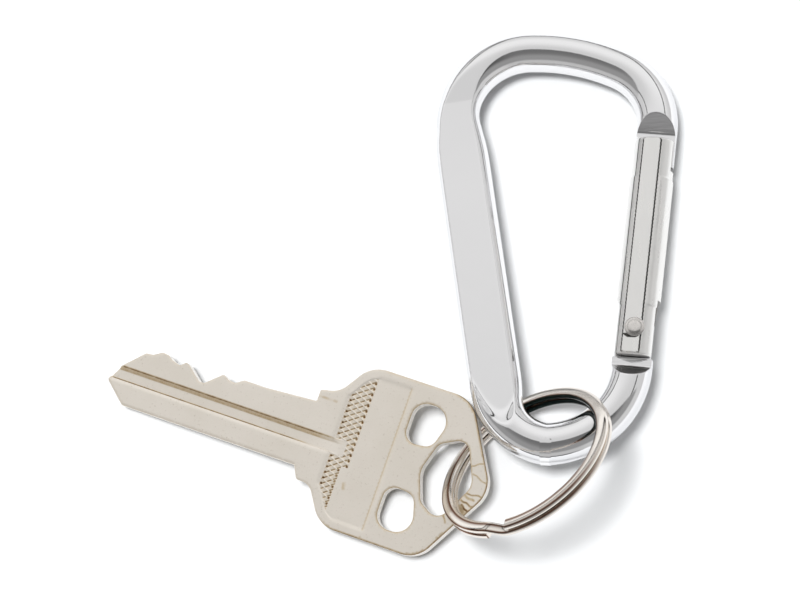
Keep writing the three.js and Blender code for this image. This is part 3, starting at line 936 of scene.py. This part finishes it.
def grip_marks(x, y, from_edge):
    """The hatched grip on the bow: where it lies, its light ridges, its dark dashes and its border pits."""
    right = np.where(y > HATCH.step, HATCH.right, HATCH.lower_right)
    where = hump(HATCH.left, right, x, 0.08) * smooth_step(HATCH.low, HATCH.low + 0.2, y)
    where = where * smooth_step(1.25, 1.45, from_edge)
    place = channel_place(y, 1)
    where = where * (1 - hump(-0.2, channel_knots(1)[-1] + 0.15, place, 0.1) * (x < HATCH.channel_end))
    ridge_lean = math.tan(math.radians(HATCH.ridge_slope))
    dash_lean = math.tan(math.radians(HATCH.dash_slope))
    ridges = repeats(y + x * ridge_lean, HATCH.pitch, HATCH.ridge_half)
    dashes = repeats(y - x * dash_lean, HATCH.pitch, HATCH.dash_half)
    rim = np.minimum(np.abs(x - HATCH.left - HATCH.rim), np.abs(x - right + HATCH.rim))
    along = np.abs((y / HATCH.pitch + 0.5) % 1 - 0.5) * HATCH.pitch
    pits = 1 - smooth_step(0.1, 0.2, np.hypot(rim, along))
    return where, ridges, dashes * (1 - ridges), pits


def key_relief(x, y, from_edge, side):
    """Depth of all that is milled or stamped into one face of the key."""
    panel = hump(HATCH.left - 0.2, PANEL_END, x, 0.06) * smooth_step(1.1, 1.3, from_edge)
    depth = panel * PANEL_DEPTH
    if side > 0:
        where, ridges, dashes, pits = grip_marks(x, y, from_edge)
        marks = HATCH.ridge_depth * ridges + HATCH.dash_depth * dashes + HATCH.pit_depth * pits
        depth = depth + where * (HATCH.floor + marks)
    return np.maximum(depth, channel_depth(x, y, side))


def rub_marks(x, y):
    """Thin dark strokes on the bow, most of them where the ring rubs as it turns."""
    marks = np.zeros_like(x)
    for start, end, half_width, strength in RUB_STROKES:
        start, run = np.array(start), np.array(end) - start
        share = np.clip(((x - start[0]) * run[0] + (y - start[1]) * run[1]) / (run @ run), 0, 1)
        wander = 0.06 * np.sin(9 * share + 4 * start[1])
        off = np.hypot(x - start[0] - share * run[0], y - start[1] - share * run[1] + wander)
        marks = np.maximum(marks, strength * (1 - smooth_step(half_width * 0.4, half_width, off)))
    return marks


def key_wear(x, y, from_edge, side):
    """How far the nickel is worn or dirty, from 0 to 1, over one face of the key."""
    ends = 1 - smooth_step(*CHANNEL_FADE, x)
    place = channel_place(y, side)
    knots = channel_knots(side)
    wall = KEY_DIRT.slanted_wall * hump(knots[3], knots[4], place, 0.02)
    lines = KEY_DIRT.slanted_foot * near_line(place, knots[3] + 0.04, 0.06)
    lines = near_line(place, knots[4] - 0.02, 0.07) + lines
    foot = KEY_DIRT.steep_foot * near_line(place, 0.02, 0.07) * (1 - smooth_step(26, 29.5, x))
    wear_and_shade = np.maximum(np.maximum(wall, lines) * ends, foot)
    panel_end = KEY_DIRT.panel_end * near_line(x, PANEL_END - 0.05, 0.1)
    wear_and_shade = np.maximum(wear_and_shade, panel_end * smooth_step(1.1, 1.3, from_edge))
    if side > 0:
        where, ridges, dashes, pits = grip_marks(x, y, from_edge)
        hatch = np.maximum(KEY_DIRT.dashes * dashes, pits) + KEY_DIRT.hatch_floor * (1 - ridges)
        wear_and_shade = np.maximum(wear_and_shade, where * hatch)
        wear_and_shade = np.maximum(wear_and_shade, rub_marks(x, y))
    return np.clip(wear_and_shade, 0, 1)


def even_points(low, high, spacing):
    """Points of a triangular grid between two corners."""
    xs = np.arange(low[0], high[0], spacing)
    ys = np.arange(low[1], high[1], spacing * 0.866)
    x, y = np.meshgrid(xs, ys)
    x[1::2] += spacing / 2
    return np.stack([x.ravel(), y.ravel()], 1)


def within(points, low, high):
    """Whether each point lies in the box between two corners."""
    return np.all((points > low) & (points < high), axis=1)


def distance_to(points, edge):
    """Distance from each point to the nearest point of an edge."""
    return np.array([np.min(np.hypot(edge[:, 0] - x, edge[:, 1] - y)) for x, y in points])


def key_inner_points(loops, side):
    """Points inside one face: a coarse grid, finer patches, and rows where its depth changes."""
    points = even_points(*COARSE_PATCH)
    if side > 0:
        for low, high, spacing in FINE_PATCHES:
            points = points[~within(points, low, high)]
            points = np.concatenate([points, even_points(low, high, spacing)])
    steep, slanted = CHANNELS[side]
    toward = np.sign(slanted - steep)
    knots = channel_knots(side)
    middles = [knots[2] + 0.07, knots[3] + 0.08, knots[4] - 0.09]
    levels = [steep + toward * knot for knot in [*knots, *middles, knots[2] + 0.02]]
    rows = np.array([(x, y) for y in levels for x in np.arange(0.6, 34.5, 0.12)])
    near_row = np.min([np.abs(points[:, 1] - y) for y in levels], axis=0) < 0.05
    points = np.concatenate([points[~(near_row & (points[:, 0] < 34.8))], rows])
    columns = [PANEL_END + past for past in (-0.1, -0.05, 0.03)]
    border = np.array([(x, y) for x in columns for y in np.arange(-8.5, 12.4, 0.2)])
    points = np.concatenate([points[np.abs(points[:, 0] - PANEL_END) > 0.15], border])
    points = points[inside(points, loops[0])]
    for window in loops[1:]:
        points = points[~inside(points, window)]
    return points[distance_to(points, np.concatenate(loops)) > 0.12]


def key_sheet(loops, inner):
    """Points and triangles of a flat sheet bounded by loops; the loops' points come first."""
    points = np.concatenate([*loops, inner])
    edges = []
    first = 0
    for loop in loops:
        count = len(loop)
        edges.extend((first + i, first + (i + 1) % count) for i in range(count))
        first += count
    out = delaunay_2d_cdt([Vector(p) for p in points], edges, [], 0, 1e-6)
    coordinates = np.array([tuple(p) for p in out[0]])
    if len(coordinates) != len(points):
        raise ValueError("the sheet's outline crosses itself")
    origin = [sources[0] for sources in out[3]]
    faces = np.array([[origin[i] for i in face] for face in out[2]])
    centres = points[faces].mean(axis=1)
    keep = inside(centres, loops[0])
    for window in loops[1:]:
        keep &= ~inside(centres, window)
    return points, faces[keep]


def key_plate(material):
    loops = key_loops(0.22)
    signs = [1 if turns_left(loop) == (i == 0) else -1 for i, loop in enumerate(loops)]
    outwards = [loop_normals(loop) * sign for loop, sign in zip(loops, signs)]
    inset = [loop - out * KEY_BEVEL for loop, out in zip(loops, outwards)]
    rim = np.concatenate(inset)
    out = np.concatenate(outwards)
    grime_and_shade = np.concatenate([wall_grime(*both, i == 0) for i, both in enumerate(zip(loops, outwards))])
    points, faces, wear_and_shade, levels = [], [], [], []
    first = 0
    for side in (1, -1):
        flat, triangles = key_sheet(inset, key_inner_points(inset, side))
        from_edge = distance_to(flat, loops[0])
        relief = key_relief(flat[:, 0], flat[:, 1], from_edge, side)
        points.append(np.column_stack([flat, side * (KEY_HALF - relief)]))
        face_wear = key_wear(flat[:, 0], flat[:, 1], from_edge, side)
        face_wear[: len(rim)] = np.maximum(face_wear[: len(rim)], 0.5 * grime_and_shade)
        wear_and_shade.append(face_wear)
        faces.extend((triangles + first).tolist())
        starts = [first]
        first += len(flat)
        height = KEY_HALF - relief[: len(rim)]
        # The lowest wall ring of each face takes -1, which paints a highlight on the side walls between
        # them.
        for inward, drop, share in ((0.3, 0.3, 1.0), (0.0, 1.0, 0.5), (0.0, 2.0, -1.0)):
            ring = rim + out * KEY_BEVEL * (1 - inward)
            points.append(np.column_stack([ring, side * (height - KEY_BEVEL * drop)]))
            wear_and_shade.append(grime_and_shade * share if share > 0 else np.full(len(grime_and_shade), share))
            starts.append(first)
            first += len(ring)
        levels.append(starts)
    walls = [*levels[0], *reversed(levels[1])]
    offset = 0
    for loop in loops:
        count = len(loop)
        for upper, lower in zip(walls, walls[1:]):
            for i in range(count):
                k = (i + 1) % count
                corners = (upper + i, upper + k, lower + k, lower + i)
                faces.append([corner + offset for corner in corners])
        offset += count
    points, wear_and_shade = np.concatenate(points), np.concatenate(wear_and_shade)
    made = make_mesh("key_plate", points, faces, KEY_AXES, material, wear_and_shade, sharp_degrees=50)
    finish_piece(made, "key", "house_key")


def wall_grime(loop, out, is_outline):
    """Dirt along the key's rim: most on the bow's lower and right edges and round its windows."""
    x = loop[:, 0]
    if not is_outline:
        return np.full(len(loop), KEY_DIRT.windows)
    facing = np.maximum(-out[:, 1], out[:, 0] + 0.3)
    return np.maximum(smooth_step(0.1, 0.6, facing) * smooth_step(33, 36, x), KEY_DIRT.least)


# ---- materials


class Nodes:
    """A node tree; a new node's inputs are plain values or the outputs of other nodes."""

    def __init__(self, tree):
        self.tree = tree

    def give(self, socket, value):
        if isinstance(value, bpy.types.NodeSocket):
            self.tree.links.new(value, socket)
        else:
            socket.default_value = value

    def add(self, kind, output, inputs, **settings):
        """Adds a node and returns one of its outputs."""
        made = self.tree.nodes.new("ShaderNode" + kind)
        for key, value in settings.items():
            setattr(made, key, value)
        for key, value in inputs.items():
            self.give(made.inputs[key], value)
        return made.outputs[output]

    def spread(self, value, low, high, to_low, to_high, curve="LINEAR"):
        """The value mapped from one range to another, and kept inside it."""
        inputs = {"Value": value, "From Min": low, "From Max": high, "To Min": to_low, "To Max": to_high}
        return self.add("MapRange", "Result", inputs, interpolation_type=curve)

    def math(self, operation, a, b):
        return self.add("Math", "Value", {0: a, 1: b}, operation=operation)


class Shader(Nodes):
    """A Principled material whose detail is added node by node."""

    def __init__(self, name, colour, metallic, roughness):
        self.material = bpy.data.materials.new(name)
        self.material.use_nodes = True
        super().__init__(self.material.node_tree)
        self.surface = self.tree.nodes["Principled BSDF"]
        self.set("Base Color", (*colour, 1))
        self.set("Metallic", metallic)
        self.set("Roughness", roughness)
        self.place = self.add("TexCoord", "Object", {})

    def set(self, name, value):
        self.give(self.surface.inputs[name], value)

    def stretched(self, scale, turn=(0, 0, 0)):
        """The surface's place, stretched along chosen directions."""
        turn = [math.radians(degrees) for degrees in turn]
        return self.add("Mapping", "Vector", {"Vector": self.place, "Scale": scale, "Rotation": turn})

    def noise(self, place, scale, detail=3.0, rough=0.5):
        inputs = {"Vector": place, "Scale": scale, "Detail": detail, "Roughness": rough}
        return self.add("TexNoise", "Fac", inputs)

    def mix(self, factor, a, b):
        """Colour a where the factor is 0 and b where it is 1."""
        a, b = ((*colour, 1) if isinstance(colour, tuple) else colour for colour in (a, b))
        return self.add("Mix", 2, {0: factor, 6: a, 7: b}, data_type="RGBA")

    def attribute(self, name):
        return self.add("Attribute", "Fac", {}, attribute_name=name)

    def bump(self, height, strength, distance):
        """Adds relief to the surface, on top of the relief that it has."""
        inputs = {"Height": height, "Strength": strength, "Distance": distance}
        normal = self.surface.inputs["Normal"]
        if normal.is_linked:
            inputs["Normal"] = normal.links[0].from_socket
        self.set("Normal", self.add("Bump", "Normal", inputs))


def polished_aluminium():
    # Plain polished metal; a darker colour that paints shade on the lower outer side; a grey for the
    # milling marks and for the painted shade line on the shoulder; and a dark colour that paints the shadow
    # on the tongue under the gate's end.
    plain, dimmer = (0.89, 0.885, 0.89), (0.76, 0.76, 0.775)
    scored_and_shade, dark = (0.62, 0.61, 0.62), (0.2, 0.2, 0.2)
    s = Shader("polished_aluminium", plain, 1.0, 0.1)
    blotches = s.noise(s.place, 260, 4)
    milled_and_shaded = s.attribute("wear_and_shade")
    # Above 0 this carries the milling marks, the painted shade line on the shoulder and the painted shadow
    # under the gate's end.
    cut = s.math("MAXIMUM", milled_and_shaded, 0.0)
    streaks = s.noise(s.stretched((200, 4000, 200), (0, 0, 8)), 1, 3, 0.6)
    polish = s.spread(blotches, 0.3, 0.7, 0.05, 0.12)
    s.set("Roughness", s.math("ADD", polish, s.math("MULTIPLY", cut, 0.1)))
    marks = s.math("MULTIPLY", cut, s.spread(streaks, 0.35, 0.65, 0.1, 0.55))
    # From 1 to 1.6 the colour turns to the painted shadow under the gate's end.
    mark_and_shadow_colour = s.mix(s.spread(cut, 1, 1.6, 0, 1), scored_and_shade, dark)
    marked = s.mix(marks, plain, mark_and_shadow_colour)
    # Below 0 the colour turns to the painted shade of the lower outer side.
    s.set("Base Color", s.mix(s.spread(milled_and_shaded, -1, 0, 0.9, 0), marked, dimmer))
    s.bump(s.noise(s.place, 110, 2), 0.22, 0.0002)
    s.bump(s.noise(s.place, 2600, 2), 0.1, 0.00003)
    s.bump(s.math("MULTIPLY", cut, streaks), 0.5, 0.00006)
    return s.material


def gate_aluminium():
    plain, grime_and_shade = (0.87, 0.86, 0.84), (0.05, 0.05, 0.045)
    s = Shader("gate_aluminium", plain, 1.0, 0.3)
    grain = s.noise(s.stretched((900, 90, 900)), 1, 4)
    # The dark colour paints shade in the grooves, shadow with grime beneath the rivet head and a dark
    # reflection line on one flank.
    shade_and_grime = s.math("MULTIPLY", s.attribute("wear_and_shade"), s.spread(grain, 0.3, 0.5, 0.6, 1))
    s.set("Base Color", s.mix(shade_and_grime, plain, grime_and_shade))
    s.set("Roughness", s.spread(grain, 0.3, 0.7, 0.24, 0.36))
    s.bump(s.noise(s.place, 150, 2), 0.2, 0.0002)
    s.bump(grain, 0.1, 0.00003)
    return s.material


def rivet_steel():
    plain, grime_and_shade = (0.78, 0.75, 0.72), (0.06, 0.05, 0.05)
    s = Shader("rivet_steel", plain, 1.0, 0.26)
    blotches = s.noise(s.place, 1500, 3)
    # The dark colour paints the shadow beneath the head, and random blotches darken the steel a little
    # elsewhere.
    darkened = s.math("MAXIMUM", s.attribute("wear_and_shade"), s.spread(blotches, 0.55, 0.8, 0, 0.35))
    s.set("Base Color", s.mix(darkened, plain, grime_and_shade))
    s.bump(s.noise(s.place, 900, 3), 0.3, 0.00005)
    return s.material


def spring_steel():
    s = Shader("spring_steel", (0.55, 0.55, 0.55), 1.0, 0.3)
    s.bump(s.noise(s.place, 1500, 2), 0.2, 0.00003)
    return s.material


def ring_steel():
    # Brown paints the shade between the coils, and black the dark reflection on the far arc's inner wall.
    plain, shade_brown, reflection_black = (0.83, 0.775, 0.715), (0.16, 0.08, 0.05), (0.012, 0.02, 0.018)
    s = Shader("ring_steel", plain, 1.0, 0.12)
    blotches = s.noise(s.place, 300, 4)
    s.set("Roughness", s.spread(blotches, 0.3, 0.7, 0.08, 0.2))
    darkened = s.attribute("wear_and_shade")
    painted_dark = s.mix(s.spread(darkened, 0.8, 1, 0, 1), shade_brown, reflection_black)
    s.set("Base Color", s.mix(s.spread(darkened, 0, 0.8, 0, 1), plain, painted_dark))
    s.bump(s.noise(s.place, 180, 2), 0.25, 0.0002)
    return s.material


def key_nickel():
    nickel, dimmer, speck = (0.81, 0.755, 0.68), (0.77, 0.715, 0.635), (0.45, 0.38, 0.3)
    brass, worn_brown, highlight_cream = (0.6, 0.48, 0.31), (0.17, 0.085, 0.03), (0.98, 0.95, 0.9)
    s = Shader("key_nickel", nickel, 0.7, 0.42)
    speckle = s.noise(s.place, 3200, 3, 0.6)
    blotches = s.noise(s.place, 160, 4)
    base = s.mix(s.spread(blotches, 0.35, 0.7, 0, 1), nickel, dimmer)
    base = s.mix(s.spread(speckle, 0.62, 0.8, 0, 0.6), base, speck)
    broken = s.spread(s.noise(s.place, 1500, 4, 0.7), 0.32, 0.6, 0.6, 1.0)
    darkened = s.spread(s.attribute("wear_and_shade"), 0, 1, 0, 1)
    # Painted highlight: below 0, on the side walls, the colour turns pale and less metallic so that the
    # walls show as a bright band.
    wall_highlight = s.spread(s.attribute("wear_and_shade"), -1, 0, 1, 0)
    base = s.mix(wall_highlight, base, highlight_cream)
    darkened = s.math("MULTIPLY", darkened, broken)
    bared = s.mix(s.spread(darkened, 0.35, 0.9, 0, 1), brass, worn_brown)
    s.set("Base Color", s.mix(s.spread(darkened, 0, 0.4, 0, 1), base, bared))
    s.set("Metallic", s.math("SUBTRACT", 0.7, s.math("MULTIPLY", wall_highlight, 0.65)))
    s.set("Roughness", s.spread(speckle, 0.3, 0.7, 0.36, 0.5))
    s.bump(speckle, 0.35, 0.00003)
    s.bump(blotches, 0.2, 0.0001)
    return s.material


def pale_floor():
    paper, paper_speck = (0.71, 0.72, 0.73), (0.7, 0.71, 0.72)
    s = Shader("pale_floor", paper, 0.0, 0.9)
    s.set("Specular IOR Level", 0.0)
    speckle = s.noise(s.place, 90, 2)
    s.set("Base Color", s.mix(speckle, paper, paper_speck))
    return s.material


# ---- stage, light and camera


def floor_plane():
    half = 900
    points = [(-half, -half, 0), (half, -half, 0), (half, half, 0), (-half, half, 0)]
    made = make_mesh("floor", points, [(0, 1, 2, 3)], Matrix.Scale(MM, 4), pale_floor())


def studio_surroundings():
    """A white tent all round: softly graded, with dark seams and a darker side behind the camera."""
    world = bpy.data.worlds.new("studio")
    world.use_nodes = True
    bpy.context.scene.world = world
    nodes = Nodes(world.node_tree)
    background = nodes.tree.nodes["Background"]
    background.inputs["Color"].default_value = (1, 1, 1, 1)
    split = nodes.tree.nodes.new("ShaderNodeSeparateXYZ")
    nodes.give(split.inputs["Vector"], nodes.add("TexCoord", "Generated", {}))
    x, y, z = (split.outputs[axis] for axis in "XYZ")

    def ramp(*values):
        return nodes.spread(*values, curve="SMOOTHSTEP")

    def mixed(factor, a, b):
        return nodes.add("Mix", "Result", {"Factor": factor, "A": a, "B": b})

    def seam(lean, width):
        """1 along a seam that rises from the far horizon to one side of the tent."""
        off = nodes.math("SUBTRACT", z, nodes.math("MULTIPLY", x, lean))
        return ramp(nodes.math("ABSOLUTE", off, 0.0), width * 0.5, width, 1.0, 0.0)

    overhead = ramp(y, *LIGHT.overhead_reach, LIGHT.overhead, LIGHT.far_side)
    tent = mixed(ramp(z, 0.1, 0.6, 1.0, 0.0), overhead, LIGHT.foot)
    for lean, width, ends in LIGHT.seams:
        side = ramp(x, *ends, 1.0, 0.0) if lean < 0 else ramp(x, *ends, 0.0, 1.0)
        tent = mixed(nodes.math("MULTIPLY", seam(lean, width), side), tent, LIGHT.seam)
    top, middle, foot = LIGHT.panel
    start, end, low_start, low_end = LIGHT.panel_levels
    top = mixed(ramp(x, 0.1, 0.5, 0.0, 1.0), top, LIGHT.seam)
    foot = mixed(ramp(x, 0.35, 0.6, 0.0, 1.0), foot, LIGHT.foot)
    panel = mixed(ramp(z, low_start, low_end, 0.0, 1.0), ramp(z, start, end, top, middle), foot)
    tent = mixed(ramp(y, *LIGHT.panel_edge, 1.0, 0.0), tent, panel)
    horizon = mixed(ramp(x, 0.2, 0.5, 0.0, 1.0), LIGHT.seam, LIGHT.foot)
    tent = mixed(ramp(z, *LIGHT.horizon, 1.0, 0.0), tent, horizon)
    nodes.give(background.inputs["Strength"], tent)


def studio_sun():
    sun = bpy.data.lights.new("sun", "SUN")
    sun.energy = LIGHT.sun
    sun.angle = math.radians(LIGHT.sun_spread)
    made = bpy.data.objects.new("sun", sun)
    made.rotation_mode = "QUATERNION"
    made.rotation_quaternion = Vector(LIGHT.sun_from).to_track_quat("Z", "Y")
    made.visible_glossy = False
    bpy.context.scene.collection.objects.link(made)


def photo_camera():
    data = bpy.data.cameras.new("photo")
    data.lens = CAMERA.lens
    data.sensor_width = 36
    data.clip_start, data.clip_end = 0.01, 10
    made = bpy.data.objects.new("photo", data)
    back = Vector(CAMERA.back).normalized()
    up = Vector(CAMERA.up)
    right = up.cross(back).normalized()
    turn = Matrix((right, back.cross(right), back)).transposed().to_4x4()
    place = Vector(CAMERA.target) + back * CAMERA.distance
    made.matrix_world = Matrix.Translation(place * MM) @ turn
    bpy.context.scene.collection.objects.link(made)
    bpy.context.scene.camera = made
    bpy.context.scene.view_settings.view_transform = "Standard"


# ---- everything together

carabiner_frame(polished_aluminium())
gate_bar(gate_aluminium())
rivet(rivet_steel())
inner_steel = spring_steel()
plunger(inner_steel)
coil_spring(inner_steel)
ring_wire(ring_steel())
key_plate(key_nickel())
floor_plane()
studio_surroundings()
studio_sun()
photo_camera()
